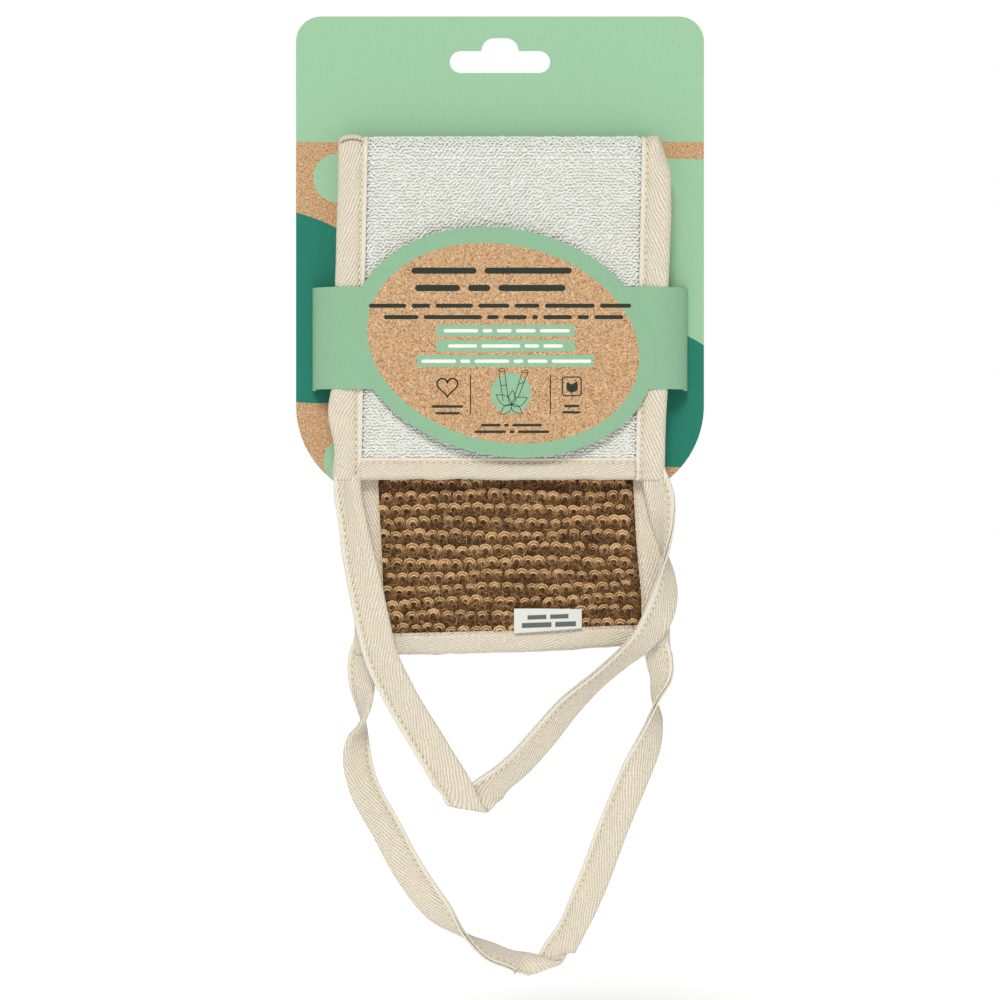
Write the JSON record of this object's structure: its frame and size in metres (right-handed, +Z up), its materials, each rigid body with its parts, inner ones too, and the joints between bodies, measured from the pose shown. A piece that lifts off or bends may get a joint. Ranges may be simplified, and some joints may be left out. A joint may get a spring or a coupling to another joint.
{
  "type": "back scrubber strap",
  "caption": "Folded back scrubber strap with a terry face, a jute face, tape bindings and carrying loops, held on a hang card by a belly band.",
  "frame": {"origin": "centre of the card's hanging slot, on the card's front face", "axes": "+Z up as it hangs, front towards -Y, +X to the right seen from the front"},
  "size_m": [0.13, 0.0139, 0.306],
  "materials": {
    "card_board": "matt printed board, mint and kraft",
    "band_board": "matt printed board, mint with a kraft oval",
    "hot_melt": "cloudy adhesive",
    "bamboo_terry": "short looped pile, cool white",
    "jute_crochet": "coarse crocheted jute yarn, hairy",
    "cotton_tape": "herringbone cotton tape, unbleached",
    "cotton_thread": "twisted sewing thread",
    "label_satin": "woven satin label, blank"
  },
  "bodies": {
    "pack": {"hang_card": "card_board", "belly_band": "band_board", "band_glue_dot": "hot_melt"},
    "strap": {"terry_face": "bamboo_terry", "jute_face": "jute_crochet", "left_side_binding": "cotton_tape", "right_side_binding": "cotton_tape", "front_end_binding": "cotton_tape", "rear_end_binding": "cotton_tape", "left_needle_thread": "cotton_thread", "left_bobbin_thread": "cotton_thread", "right_needle_thread": "cotton_thread", "right_bobbin_thread": "cotton_thread", "front_end_needle_thread": "cotton_thread", "front_end_bobbin_thread": "cotton_thread", "rear_end_needle_thread": "cotton_thread", "rear_end_bobbin_thread": "cotton_thread"},
    "front_loop": {"front_carrying_loop": "cotton_tape", "front_loop_thread": "cotton_thread"},
    "rear_loop": {"rear_carrying_loop": "cotton_tape", "rear_loop_thread": "cotton_thread"},
    "label": {"woven_label": "label_satin"}
  },
  "joints": [
    {"name": "strap_pull_out", "type": "slide", "parent": "pack", "child": "strap", "axis": [0, 0, -1], "range_m": [0, 0.13]},
    {"name": "front_loop_swing", "type": "hinge", "parent": "strap", "child": "front_loop", "pos_m": [0.0008, -0.0109, -0.1346], "axis": [-1, 0, 0], "range_deg": [0, 120]},
    {"name": "rear_loop_swing", "type": "hinge", "parent": "strap", "child": "rear_loop", "pos_m": [0.0008, -0.0006, -0.1898], "axis": [1, 0, 0], "range_deg": [0, 120]},
    {"name": "label_flap", "type": "hinge", "parent": "strap", "child": "label", "pos_m": [0.0152, -0.00585, -0.1819], "axis": [1, 0, 0], "range_deg": [0, 150], "stiffness_Nm_per_rad": 0.00002}
  ]
}
